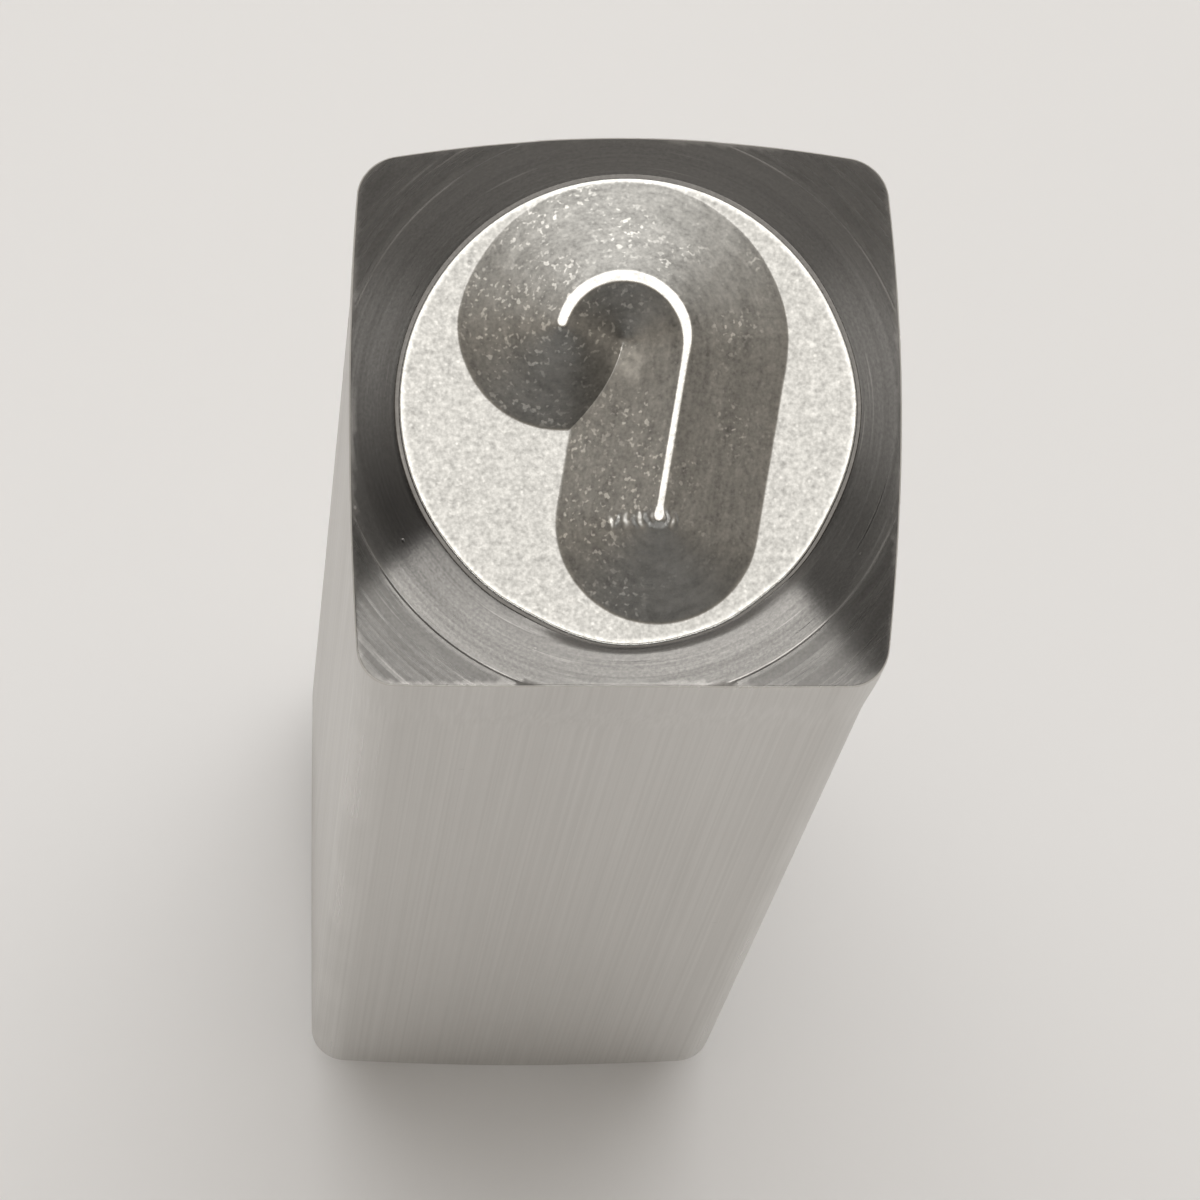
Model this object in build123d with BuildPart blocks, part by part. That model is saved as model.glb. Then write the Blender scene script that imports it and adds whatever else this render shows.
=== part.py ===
from build123d import *
import os
from math import tan, radians

# A steel letter punch, forged and turned from one piece of square tool steel. The working end is turned to
# a cone, which leaves a round face, and on that face the letter J stands in relief as a mirror image, so
# that it prints the right way round. The letter is a narrow ridge along the middle of each stroke, and its
# flanks fall away from the ridge at one slope all round. Pressing the letter in has swollen the sides of
# the head a little. The punch stands on its struck end, with the bar's axis on Z and the origin at the
# centre of the struck face. All sizes are in millimetres and degrees.

# The square bar
bar_width = 6.35  # across the flats
bar_corner_radius = 0.5
overall_length = 62.0  # from the struck face to the top of the letter

# The struck end
struck_face_diameter = 5.8
struck_cone_slope = 45.0  # slope of the turned bevel, up from the horizontal

# The head, where the four sides swell outwards
head_bulge = 0.14  # how far the middle of each side stands out
swell_start = 7.5  # depth below the face where the sides begin to swell
swell_end = 2.5  # depth below the face where the swelling is full

# The turned working end
face_diameter = 5.5
cone_slope = 45.0  # slope of the cone, down from the horizontal
rim_step = 0.05  # width and depth of the tool's step around the face
corner_ring_diameter = 6.95  # a second step, which only the bar's four corners reach
corner_ring_step = 0.04

# The letter
letter_height = 3.0  # over the ridge
stroke_width = 0.12  # the flat along the top of the ridge
relief_height = 0.68  # from the face to the top of the ridge
flank_slope = 30.0  # slope of the flanks, down from the horizontal
hook_radius = 0.76  # to the middle of the stroke
hook_sweep = 174.0  # how far the hook turns, from the stem to its tip
stem_lean = 9.5  # angle of the stem from the upright
letter_shift = (-0.06, 0.04)  # the letter's place on the face, from the axis

# Levels and reaches that follow from those
face_level = overall_length - relief_height
face_radius = face_diameter / 2
bar_half = bar_width / 2
bar_reach = bar_width  # a radius that clears the bar's corners
flank_run = relief_height / tan(radians(flank_slope))
foot_reach = stroke_width / 2 + flank_run  # from the middle of a stroke to the foot of its flank

# The letter's line: the stem runs into the hook along the hook's tangent
stroke_top = letter_shift[1] + (letter_height - stroke_width) / 2
stroke_bottom = letter_shift[1] - (letter_height - stroke_width) / 2
hook_centre = Vector(letter_shift[0], stroke_top - hook_radius, face_level)
to_stem = Vector(1, 0, 0).rotate(Axis.Z, -stem_lean)
along_stem = Vector(0, -1, 0).rotate(Axis.Z, -stem_lean)
stem_start = hook_centre + to_stem * hook_radius
stem_length = (stroke_bottom - stem_start.Y) / along_stem.Y
stem_end = stem_start + along_stem * stem_length
hook_tip = hook_centre + to_stem.rotate(Axis.Z, hook_sweep) * hook_radius
# A section across the stroke where the stem meets the hook, with its origin at the hook's centre
stroke_section = Plane(origin=hook_centre, x_dir=to_stem, z_dir=along_stem)


# The square bar, its swollen head and the stretch above, which the turning then cuts
with BuildPart() as punch:
    with BuildSketch():
        RectangleRounded(bar_width, bar_width, bar_corner_radius)
    extrude(amount=face_level - swell_start)

    with BuildSketch(Plane.XY.offset(face_level - swell_start)):
        RectangleRounded(bar_width, bar_width, bar_corner_radius)
    with BuildSketch(Plane.XY.offset(face_level - swell_end)) as head_section:
        corners = [(bar_half, -bar_half), (bar_half, bar_half), (-bar_half, bar_half), (-bar_half, -bar_half)]
        with BuildLine():
            for corner, next_corner in zip(corners, corners[1:] + corners[:1]):
                SagittaArc(corner, next_corner, -head_bulge)
        make_face()
        fillet(head_section.vertices(), bar_corner_radius)
    loft()
    extrude(head_section.sketch, amount=swell_end)

    # Both ends are turned: a bevel around the struck face, and the cone below the letter's face
    with BuildSketch(Plane.XZ):
        with BuildLine():
            struck_radius = struck_face_diameter / 2
            bevel_height = (bar_reach - struck_radius) * tan(radians(struck_cone_slope))
            shoulder_radius = face_radius + rim_step
            shoulder_level = face_level - rim_step
            ring_radius = corner_ring_diameter / 2
            ring_level = shoulder_level - (ring_radius - shoulder_radius) * tan(radians(cone_slope))
            corner_level = ring_level - corner_ring_step
            corner_depth = (bar_reach - ring_radius) * tan(radians(cone_slope))
            Polyline(
                (0, 0),
                (struck_radius, 0),
                (bar_reach, bevel_height),
                (bar_reach, corner_level - corner_depth),
                (ring_radius, corner_level),
                (ring_radius, ring_level),
                (shoulder_radius, shoulder_level),
                (face_radius, shoulder_level),
                (face_radius, face_level),
                (0, face_level),
                close=True,
            )
        make_face()
    revolve(axis=Axis.Z, mode=Mode.INTERSECT)


# The letter in relief, with flanks of one slope all round
with BuildPart() as letter:
    with BuildSketch(stroke_section):
        with BuildLine():
            inner_rise = relief_height - (hook_radius - stroke_width / 2) * tan(radians(flank_slope))
            Polyline(
                (0, 0),
                (hook_radius + foot_reach, 0),
                (hook_radius + stroke_width / 2, relief_height),
                (hook_radius - stroke_width / 2, relief_height),
                (0, inner_rise),
                close=True,
            )
        make_face()
    revolve(axis=Axis(hook_centre, Vector(0, 0, 1)), revolution_arc=hook_sweep)

    with BuildSketch(stroke_section):
        with BuildLine():
            Polyline(
                (hook_radius - foot_reach, 0),
                (hook_radius + foot_reach, 0),
                (hook_radius + stroke_width / 2, relief_height),
                (hook_radius - stroke_width / 2, relief_height),
                close=True,
            )
        make_face()
    extrude(amount=stem_length)

    with Locations(hook_tip, stem_end):
        Cone(foot_reach, stroke_width / 2, relief_height, align=(Align.CENTER, Align.CENTER, Align.MIN))

    # The letter was cut in the turned blank, so nothing of it stands outside the cone
    with Locations((0, 0, face_level)):
        top_radius = face_radius - relief_height / tan(radians(cone_slope))
        Cone(
            face_radius,
            top_radius,
            relief_height,
            align=(Align.CENTER, Align.CENTER, Align.MIN),
            mode=Mode.INTERSECT,
        )

with punch:
    add(letter.part)

punch.part.label = "letter_punch"

os.makedirs("parts", exist_ok=True)
export_step(punch.part, "parts/letter_punch.step")
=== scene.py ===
"""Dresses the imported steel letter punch: its steel, a plain studio, and a camera at the photo's angle."""

from math import cos, pi, radians, sin, tan
from types import SimpleNamespace

import bmesh
import bpy
import numpy as np
from mathutils import Matrix, Vector
from mathutils.geometry import delaunay_2d_cdt


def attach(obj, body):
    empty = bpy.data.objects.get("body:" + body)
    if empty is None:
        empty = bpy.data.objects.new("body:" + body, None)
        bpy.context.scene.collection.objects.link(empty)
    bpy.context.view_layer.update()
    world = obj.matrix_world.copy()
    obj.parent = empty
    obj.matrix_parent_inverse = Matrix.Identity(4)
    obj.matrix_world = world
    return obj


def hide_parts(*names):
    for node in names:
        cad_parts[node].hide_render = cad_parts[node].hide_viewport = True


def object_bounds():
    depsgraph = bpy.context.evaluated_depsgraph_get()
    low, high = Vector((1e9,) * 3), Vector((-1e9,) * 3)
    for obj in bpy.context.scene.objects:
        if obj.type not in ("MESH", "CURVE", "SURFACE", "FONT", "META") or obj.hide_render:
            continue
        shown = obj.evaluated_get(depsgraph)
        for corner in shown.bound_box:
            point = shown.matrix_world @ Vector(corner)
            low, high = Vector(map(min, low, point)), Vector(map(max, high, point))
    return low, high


bl_info = {
    "name": "Letter Punch",
    "version": (1, 0, 0),
    "blender": (4, 5, 0),
    "location": "3D View > Sidebar > Letter Punch",
    "description": "Makes a steel hand punch with a mirrored letter in relief, and a plain studio around it",
    "category": "Add Mesh",
}

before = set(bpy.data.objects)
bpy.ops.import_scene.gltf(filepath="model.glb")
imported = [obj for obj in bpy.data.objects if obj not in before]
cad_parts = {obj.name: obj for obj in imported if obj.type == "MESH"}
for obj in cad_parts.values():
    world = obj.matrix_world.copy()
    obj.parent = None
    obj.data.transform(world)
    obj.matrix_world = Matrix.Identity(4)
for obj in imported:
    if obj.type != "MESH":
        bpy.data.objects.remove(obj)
cad_low, cad_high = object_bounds()

MM = 0.001  # one millimetre in Blender's metres
PUNCH_NODE = "letter_punch"

# The finishes of the punch, as the mesh numbers them
FACE, CONE, BAR, STRUCK_END = range(4)

# How far the rim has moved out round the face, as a share of the push in front of the letter's foot, at
# degrees from +X towards +Y
RIM_DEGREES = (0, 25, 90, 150, 215, 240, 270, 290, 310, 335, 360)
RIM_SHARES = (0, -0.3, 0, -0.2, -0.3, 0, 1.0, 0.8, 0.3, -0.2, 0)


def linear(hex_colour):
    """The linear colour of an sRGB hex value."""
    channels = [int(hex_colour[i : i + 2], 16) / 255 for i in (1, 3, 5)]
    return tuple(c / 12.92 if c <= 0.04045 else ((c + 0.055) / 1.055) ** 2.4 for c in channels)


def add_node(tree, kind, inputs=None, **settings):
    """Adds a node with its settings. Each input is a value, or the node or socket that feeds it."""
    node = tree.nodes.new(kind)
    for name, value in settings.items():
        setattr(node, name, value)
    for key, value in (inputs or {}).items():
        if isinstance(value, bpy.types.Node):
            value = value.outputs[0]
        if isinstance(value, bpy.types.NodeSocket):
            tree.links.new(value, node.inputs[key])
        else:
            node.inputs[key].default_value = value
    return node


def length_property(name, description, default):
    """A size in metres, shown in the scene's own unit."""
    return bpy.props.FloatProperty(
        name=name, description=description, default=default, min=0, precision=5, unit="LENGTH"
    )


def angle_property(name, description, degrees):
    """An angle, given here in degrees."""
    return bpy.props.FloatProperty(
        name=name, description=description, default=radians(degrees), subtype="ANGLE"
    )


def share_property(name, description, default):
    """A share between none and all."""
    return bpy.props.FloatProperty(
        name=name, description=description, default=default, min=0, max=1, subtype="FACTOR"
    )


def place_property(name, description, default):
    """A point in metres."""
    return bpy.props.FloatVectorProperty(
        name=name,
        description=description,
        default=default,
        size=len(default),
        precision=5,
        subtype="XYZ",
        unit="LENGTH",
    )


def colour_property(name, description, hex_colour):
    """A colour, given here as an sRGB hex value."""
    return bpy.props.FloatVectorProperty(
        name=name, description=description, default=linear(hex_colour), min=0, max=1, size=3, subtype="COLOR"
    )


def brightness_property(name, description, default):
    """The brightness of a light, where 1 shows a white surface as white."""
    return bpy.props.FloatProperty(name=name, description=description, default=default, min=0)


class PunchSizes(bpy.types.PropertyGroup):
    """Sizes of the bar and its two turned ends."""

    bar_width: length_property("Bar Width", "Width of the square bar across its flats", 6.35 * MM)
    corner_radius: length_property("Corner Radius", "Radius of the bar's corners", 0.5 * MM)
    overall_length: length_property("Overall Length", "From the struck face to the ridge", cad_high.z)
    struck_face_diameter: length_property("Struck Face", "Diameter of the flat that a hammer hits", 5.8 * MM)
    struck_bevel_slope: angle_property("Struck Bevel", "Slope of the bevel round the struck face", 45)
    head_bulge: length_property("Head Bulge", "How far the middle of each side stands out", 0.14 * MM)
    swell_start: length_property("Swelling Starts", "Depth below the face where it begins", 7.5 * MM)
    swell_end: length_property("Swelling Ends", "Depth below the face where it is full", 2.5 * MM)
    face_diameter: length_property("Face Diameter", "Diameter of the round face round the letter", 5.5 * MM)
    cone_slope: angle_property("Cone Slope", "Slope of the turned cone below the face", 45)
    rim_step: length_property("Rim Step", "Width and depth of the tool's step round the face", 0.05 * MM)
    corner_ring_diameter: length_property("Corner Ring", "Diameter of the step in the corners", 6.95 * MM)
    corner_ring_step: length_property("Corner Ring Step", "Depth of the step in the corners", 0.04 * MM)
    edge_break: length_property("Edge Break", "How far the turned edges are worn round", 0.035 * MM)


class LetterSizes(bpy.types.PropertyGroup):
    """Sizes of the mirrored letter J, and of the marks that pressing it left."""

    letter_height: length_property("Letter Height", "Height of the letter over its ridge", 3.0 * MM)
    stroke_width: length_property("Stroke Width", "Width of the flat along the ridge of the hook", 0.12 * MM)
    stem_thinning: share_property("Stem Thinning", "Width of the ridge on the stem, beside the hook's", 0.55)
    relief_height: length_property("Relief Height", "From the face up to the ridge", 0.68 * MM)
    flank_slope: angle_property("Flank Slope", "Slope of the flanks down from the ridge", 30)
    hook_radius: length_property("Hook Radius", "Radius of the hook, to the middle of the stroke", 0.76 * MM)
    hook_sweep: angle_property("Hook Sweep", "How far the hook turns from the stem to its tip", 174)
    stem_lean: angle_property("Stem Lean", "Angle of the stem from the upright", 9.5)
    shift: place_property("Shift", "The letter's middle, from the face's middle", (-0.06 * MM, 0.04 * MM))
    ridge_wear: length_property("Ridge Wear", "How softly the ridge turns into the flanks", 0.012 * MM)
    foot_blend: length_property("Foot Blend", "How softly the flanks run into the face", 0.012 * MM)
    waviness: length_property("Waviness", "Swing of the ridge's and the foot's edges", 0.036 * MM)
    beading: share_property("Beading", "How much the width of the ridge comes and goes", 0.45)
    nick_pitch: length_property("Nick Pitch", "Distance between the small nicks at the stem's end", 0.15 * MM)
    nick_depth: length_property("Nick Depth", "Depth of the small nicks at the stem's end", 0.014 * MM)
    rim_push: length_property("Rim Push", "How far the letter's foot has pushed the rim out", 0.12 * MM)
    seed: bpy.props.IntProperty(name="Seed", description="Picks the wandering of the edges", default=4, min=0)


class SteelColours(bpy.types.PropertyGroup):
    """Colours of the steel, one for each way its surface was made, the turned cone's darkened with painted
    shade.
    """

    pressed: colour_property("Pressed Face", "The letter and the face round it", "#ACABA7")
    # The turned cone's colour is far darker than the other steels: mostly painted shade, not a darker steel
    turned: colour_property("Turned Cone", "The cone below the face", "#615F5C")
    drawn: colour_property("Drawn Bar", "The four sides of the bar", "#B0ADA8")
    struck: colour_property("Struck End", "The end that the hammer hits", "#A5A29D")


class StudioSizes(bpy.types.PropertyGroup):
    """The floor, the light and the camera."""

    camera_place: place_property("Camera Place", "Where the camera stands", (-0.0054, -0.0213, 0.235))
    camera_aim: place_property("Camera Aim", "The point in the middle of the picture", (0.0003, 0.0, 0.040))
    lens: bpy.props.FloatProperty(
        name="Lens", description="Focal length on a 36 mm sensor", default=440, min=50, unit="CAMERA"
    )
    floor_colour: colour_property("Floor", "Colour of the plain floor", "#EBEBEB")
    overhead: brightness_property("Overhead Light", "Large softbox overhead and behind", 1.82)
    overhead_tilt: angle_property("Overhead Tilt", "How far behind the zenith that softbox hangs", 33)
    ceiling: brightness_property("Ceiling Light", "Light from straight above", 0.55)
    front: brightness_property("Front Light", "Low bright card in front", 7.5)
    front_turn: angle_property("Front Turn", "How far to the left of the front that card stands", 5.5)
    horizon: brightness_property("Horizon Light", "Low band of light all round", 1.55)
    room: brightness_property("Room Light", "The room round the softbox", 0.35)
    surround: brightness_property("Surround", "Dim light from everywhere", 0.02)
    light_colour: colour_property("Light Colour", "Colour of the softbox, card and band", "#FFFFFF")
    room_colour: colour_property("Room Colour", "Colour of the room and the surround", "#FFF2E2")


def letter_line(letter):
    """The middle line of the letter's stroke, in millimetres, with what follows from it.

    The line is a hook round the origin and a stem down from (radius, 0). It comes to its place on the face
    when it is turned by the stem's lean and moved to the hook's centre."""
    radius = letter.hook_radius / MM
    half_height = (letter.letter_height - letter.stroke_width) / 2 / MM
    shift_x, shift_y = np.array(letter.shift) / MM
    hook_y = shift_y + half_height - radius
    lean = letter.stem_lean
    stem_top = hook_y - radius * sin(lean)
    stem_length = (stem_top - (shift_y - half_height)) / cos(lean)
    return SimpleNamespace(
        radius=radius,
        sweep=letter.hook_sweep,
        stem_length=stem_length,
        tip=radius * np.array([cos(letter.hook_sweep), sin(letter.hook_sweep)]),
        end=np.array([radius, -stem_length]),
        turn=np.array([[cos(lean), sin(lean)], [-sin(lean), cos(lean)]]),
        centre=np.array([shift_x, hook_y]),
        half_stroke=letter.stroke_width / 2 / MM,
        foot_reach=(letter.stroke_width / 2 + letter.relief_height / tan(letter.flank_slope)) / MM,
    )


def on_face(line, points):
    """Points beside the letter's line, moved to their place on the face."""
    return points @ line.turn.T + line.centre


def beside_line(line, points):
    """Points on the face, moved back beside the letter's line."""
    return (points - line.centre) @ line.turn


def distance_to_line(line, points):
    """How far each point is from the letter's line."""
    x, y = points.T
    angle = np.arctan2(y, x) % (2 * pi)
    to_hook = np.where(angle <= line.sweep, np.abs(np.hypot(x, y) - line.radius), np.inf)
    to_tip = np.hypot(x - line.tip[0], y - line.tip[1])
    to_stem = np.hypot(x - line.radius, y - np.clip(y, -line.stem_length, 0))
    return np.minimum(np.minimum(to_hook, to_tip), to_stem)


def arc(centre, radius, start, end, step):
    """Points along an arc, about one step apart."""
    count = max(6, int(abs(end - start) * radius / step))
    angles = np.linspace(start, end, count + 1)
    return np.array(centre) + radius * np.column_stack([np.cos(angles), np.sin(angles)])


def straight(start, end, step):
    """Points along a straight run, about one step apart."""
    start, end = np.array(start, float), np.array(end, float)
    count = max(2, int(np.linalg.norm(end - start) / step))
    return start + (end - start) * np.linspace(0, 1, count + 1)[:, None]


def row_round_letter(line, reach, step):
    """The closed row of points at one distance all round the letter's line."""
    parts = [
        arc((0, 0), line.radius + reach, 0, line.sweep, step),
        arc(line.tip, reach, line.sweep, line.sweep + pi, step),
        straight((line.radius - reach, 0), (line.radius - reach, -line.stem_length), step),
        arc(line.end, reach, pi, 2 * pi, step),
        straight((line.radius + reach, -line.stem_length), (line.radius + reach, 0), step),
    ]
    if reach < line.radius:
        parts.insert(2, arc((0, 0), line.radius - reach, line.sweep, 0, step))
    return np.concatenate([part[:-1] for part in parts])


def valley(line, step):
    """The crease where the tip's flank meets the stem's flank, from the hook's centre outwards."""
    down = np.arange(0, 2 * line.radius, step)
    rise = 2 * down * line.radius * sin(line.sweep)
    across = (down**2 + rise) / (2 * line.radius * (cos(line.sweep) - 1))
    points = np.column_stack([across, -down])
    return points[line.radius - across < line.foot_reach]


def runs(points, keep):
    """Splits a closed row into the runs of points that are kept."""
    if keep.all():
        return [np.vstack([points, points[:1]])]
    first = int(np.argmin(keep))
    points, keep = np.roll(points, -first, axis=0), np.roll(keep, -first)
    edges = np.flatnonzero(np.diff(np.concatenate([[0], keep.astype(int), [0]])))
    return [points[a:b] for a, b in zip(edges[::2], edges[1::2]) if b - a > 1]


class Net:
    """Points on the top of the punch, and the lines between them that the mesh has to follow."""

    def __init__(self):
        self.points = []
        self.lines = []

    def add_run(self, points):
        """Adds points with a line through them, which closes where the last point is the first again."""
        first = len(self.points)
        closed = np.allclose(points[0], points[-1])
        count = len(points) - closed
        self.points.extend(points[:count])
        self.lines.extend((first + i, first + (i + 1) % count) for i in range(len(points) - 1))

    def triangles(self):
        """The net's points, and the triangles between them that keep to its lines."""
        vectors = [Vector(p) for p in self.points]
        fill_inside, accuracy, keep_sources = 1, 1e-6, False
        made = delaunay_2d_cdt(vectors, self.lines, [], fill_inside, accuracy, keep_sources)
        return np.array(made[0], float), [tuple(face) for face in made[2]]


def softened(corners):
    """Rounds the corners of a profile. Each is a radius, a level and how far from it the rounding starts."""
    made = [corners[0][:2]]
    for before, (x, y, ease), after in zip(corners, corners[1:], corners[2:]):
        corner = np.array([x, y])
        start = np.array(before[:2]) - corner
        end = np.array(after[:2]) - corner
        start = corner + start / np.linalg.norm(start) * ease
        end = corner + end / np.linalg.norm(end) * ease
        for t in (0, 0.2, 0.4, 0.6, 0.8, 1):
            made.append(tuple((1 - t) ** 2 * start + 2 * t * (1 - t) * corner + t**2 * end))
    made.append(corners[-1][:2])
    return np.array(made)


def head_profile(punch):
    """The turned shape of the head: radius, and level from the face up, both in millimetres."""
    face = punch.face_diameter / 2 / MM
    step = punch.rim_step / MM
    ring = punch.corner_ring_diameter / 2 / MM
    ring_step = punch.corner_ring_step / MM
    slope = tan(punch.cone_slope)
    wall = 0.008  # the wall of a step leans out by this much
    ring_level = -step - (ring - face - step) * slope
    far = 2 * punch.bar_width / MM
    return softened(
        [
            (0, 0, 0),
            (face - wall, 0, 0.016),
            (face, -step, 0.008),
            (face + step, -step, 0.010),
            (ring, ring_level, 0.010),
            (ring + wall, ring_level - ring_step - wall * slope, 0.010),
            (far, ring_level - ring_step - (far - ring) * slope, 0),
        ]
    )


def square_outline(half, bulge, corner, per_side, per_corner):
    """The outline of a square bar with round corners and sides that bulge, as points in millimetres."""
    if bulge > 0:
        side_radius = (half**2 + bulge**2) / (2 * bulge)
        offset = half + bulge - side_radius
        inner = side_radius - corner
        place = (offset + np.sqrt(2 * inner**2 - offset**2)) / 2
        reach = np.arctan2(place, place - offset)
        angles = np.linspace(-reach, reach, per_side, endpoint=False)
        side = np.column_stack([offset + side_radius * np.cos(angles), side_radius * np.sin(angles)])
    else:
        place, reach = half - corner, 0
        level = np.linspace(-place, place, per_side, endpoint=False)
        side = np.column_stack([np.full(per_side, half), level])
    angles = np.linspace(reach, pi / 2 - reach, per_corner, endpoint=False)
    quarter = np.vstack([side, place + corner * np.column_stack([np.cos(angles), np.sin(angles)])])
    turns = [quarter]
    for _ in range(3):
        turns.append(turns[-1] @ np.array([[0, 1], [-1, 0]]))
    return np.vstack(turns)


def room_within(outline, points):
    """How far the outline is beyond each point, straight out from the axis."""
    outline_angles = np.arctan2(outline[:, 1], outline[:, 0])
    order = np.argsort(outline_angles)
    angles = np.arctan2(points[:, 1], points[:, 0])
    outline_reach = np.interp(angles, outline_angles[order], np.hypot(*outline[order].T), period=2 * pi)
    return outline_reach - np.hypot(*points.T)


class Rim:
    """The rim of the face, which pressing the letter in has pushed out in front and drawn in beside that.

    A pushed rim stands over the cone like a lip, and a drawn-in one takes the whole cone with it."""

    lip_reach = 0.17  # how far out over the cone a pushed rim's move fades, in millimetres
    cone_reach = 0.50  # the same for a drawn-in rim
    face_reach = 0.90  # how far in over the face either fades
    full_outside = 0.02  # how far outside the rim the cone still has the full move
    full_inside = 0.05  # how far inside the rim the face already has it

    def __init__(self, punch, letter):
        self.face = punch.face_diameter / 2 / MM
        self.push = letter.rim_push / MM

    def moved_out(self, points, turned):
        """How far points that the lathe left at a turned radius have moved straight out from the axis."""
        rows = np.arange(len(RIM_DEGREES))
        around = np.degrees(np.arctan2(points[:, 1], points[:, 0])) % 360
        part, row = np.modf(np.interp(around, RIM_DEGREES, rows))
        sway = np.interp(row + part * part * (3 - 2 * part), rows, RIM_SHARES)
        reach = np.where(sway > 0, self.lip_reach, self.cone_reach)
        share = np.clip((self.face + reach - turned) / (reach - self.full_outside), 0, 1)
        fade = [self.face - self.face_reach, self.face - self.full_inside]
        share = share * np.interp(turned, fade, [0, 1])
        return self.push * sway * share

    def turned_radius(self, points):
        """How far from the axis each point was before the letter was pressed in."""
        radius = np.hypot(*points.T)
        turned = radius
        closing_steps = 60
        for _ in range(closing_steps):
            turned = radius - self.moved_out(points, turned)
        return turned


def add_turned_rings(net, rim, profile, boundary):
    """Rings that follow the turned profile, with more between them on the cone."""
    spacing, least_gap, edge_room = 0.06, 0.02, 0.025
    points_on_rim = 400
    radii = profile[1:-1, 0]
    between = np.arange(rim.face + 0.1, np.hypot(*boundary.T).max(), spacing)
    between = [radius for radius in between if np.abs(radii - radius).min() > least_gap]
    inside_rim = rim.face - 0.035
    for radius in [inside_rim, *radii, *between]:
        ring = arc((0, 0), radius, 0, 2 * pi, 2 * pi * rim.face / points_on_rim)[:-1]
        ring = ring * (1 + rim.moved_out(ring, radius) / radius)[:, None]
        for run in runs(ring, room_within(boundary, ring) > edge_room):
            net.add_run(run)


def add_letter_rows(net, line, rim):
    """Rows at set distances from the stroke's middle line, that line, and the valley under the hook."""
    # Close together at the ridge's edge and at the foot, and wider apart down the flank
    ridge = [-0.03, -0.018, -0.010, -0.004, 0.002, 0.009, 0.018, 0.03, 0.05, 0.08]
    flank = np.arange(0.18, line.foot_reach - 0.08, 0.07)
    foot = [-0.06, -0.035, -0.02, -0.011, -0.004, 0.003, 0.010, 0.018, 0.03, 0.055]
    reaches = np.concatenate([line.half_stroke + np.array(ridge), flank, line.foot_reach + np.array(foot)])
    step, crease_step, rim_room = 0.028, 0.02, 0.05
    crease = valley(line, crease_step)
    for reach in reaches:
        row = row_round_letter(line, reach, step)
        placed = on_face(line, row)
        beside_crease = np.linalg.norm(row[:, None] - crease[None], axis=2).min(axis=1) > crease_step
        own_side = distance_to_line(line, row) > reach - 1e-4
        inside = rim.turned_radius(placed) < rim.face - rim_room
        for run in runs(placed, own_side & beside_crease & inside):
            net.add_run(run)
    stem = straight((line.radius, -line.stem_length), (line.radius, 0), step)
    hook = arc((0, 0), line.radius, 0, line.sweep, step)
    net.add_run(on_face(line, np.vstack([stem[:-1], hook])))
    slopes = np.gradient(crease, axis=0)
    sideways = np.column_stack([-slopes[:, 1], slopes[:, 0]]) / np.linalg.norm(slopes, axis=1)[:, None]
    for offset in (-0.006, 0, 0.006):
        net.add_run(on_face(line, crease[1:] + sideways[1:] * offset))

    # More points round the stem's end, fine enough to carry the small nicks there, clear of the other rows
    clear, ridge_room = 0.006, 0.07
    across, along = np.meshgrid(np.arange(-0.68, 0.29, 0.0175), np.arange(-0.15, 0.12, 0.03))
    patch = on_face(line, line.end) + np.column_stack([across.ravel(), along.ravel()])
    reach = distance_to_line(line, beside_line(line, patch))
    off_rows = np.abs(reach[:, None] - reaches[None]).min(axis=1) > clear
    net.points.extend(patch[off_rows & (reach > ridge_room)])


def add_loose_points(net, line, rim):
    """A loose spread of points over the rest of the face, in rows that are set into each other's gaps."""
    spacing, row_height, clear = 0.09, 0.87, 0.08
    columns, rows = np.meshgrid(np.arange(-40, 41), np.arange(-46, 47))
    spread = np.column_stack([(columns + rows % 2 / 2).ravel(), rows.ravel() * row_height]) * spacing
    away = distance_to_line(line, beside_line(line, spread)) > line.foot_reach + clear
    net.points.extend(spread[away & (rim.turned_radius(spread) < rim.face - clear)])


class Bands:
    """Rows of points down the outside of the bar, the finish of the band that ends at each, and its wear."""

    def __init__(self):
        self.rows = []
        self.zones = []
        self.wear = []

    def add(self, flat, level, zone, wear=0.0):
        self.rows.append(np.column_stack([flat, np.broadcast_to(level, len(flat))]))
        self.zones.append(zone)
        self.wear.append(np.full(len(flat), wear))


def add_head_bands(bands, punch, outlines, face_level, profile):
    """The worn edge between the cone and the sides, then the head, its swelling and the plain bar."""
    head, bar = outlines
    ease = punch.edge_break / MM
    reach = np.hypot(*head.T)
    outwards = head / reach[:, None]
    edge_level = face_level + np.interp(reach, profile[:, 0], profile[:, 1])
    rim_level = face_level + np.interp(reach - ease, profile[:, 0], profile[:, 1])
    for t, zone in ((0, CONE), (0.25, CONE), (0.5, BAR), (0.75, BAR), (1, BAR)):
        radius = reach - (1 - t) ** 2 * ease
        level = (1 - t) ** 2 * rim_level + 2 * t * (1 - t) * edge_level + t**2 * (edge_level - ease)
        bands.add(outwards * radius[:, None], level, zone, wear=1)

    swell_full = face_level - punch.swell_end / MM
    swell_none = face_level - punch.swell_start / MM
    for share in (0.03, 0.25, 0.5, 0.75, 1):
        bands.add(head, (edge_level - ease) * (1 - share) + swell_full * share, BAR)
    for share in np.linspace(0, 1, 11)[1:]:
        swell = share * share * (3 - 2 * share)
        bands.add(head * (1 - swell) + bar * swell, swell_full * (1 - share) + swell_none * share, BAR)
    return swell_none


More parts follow.
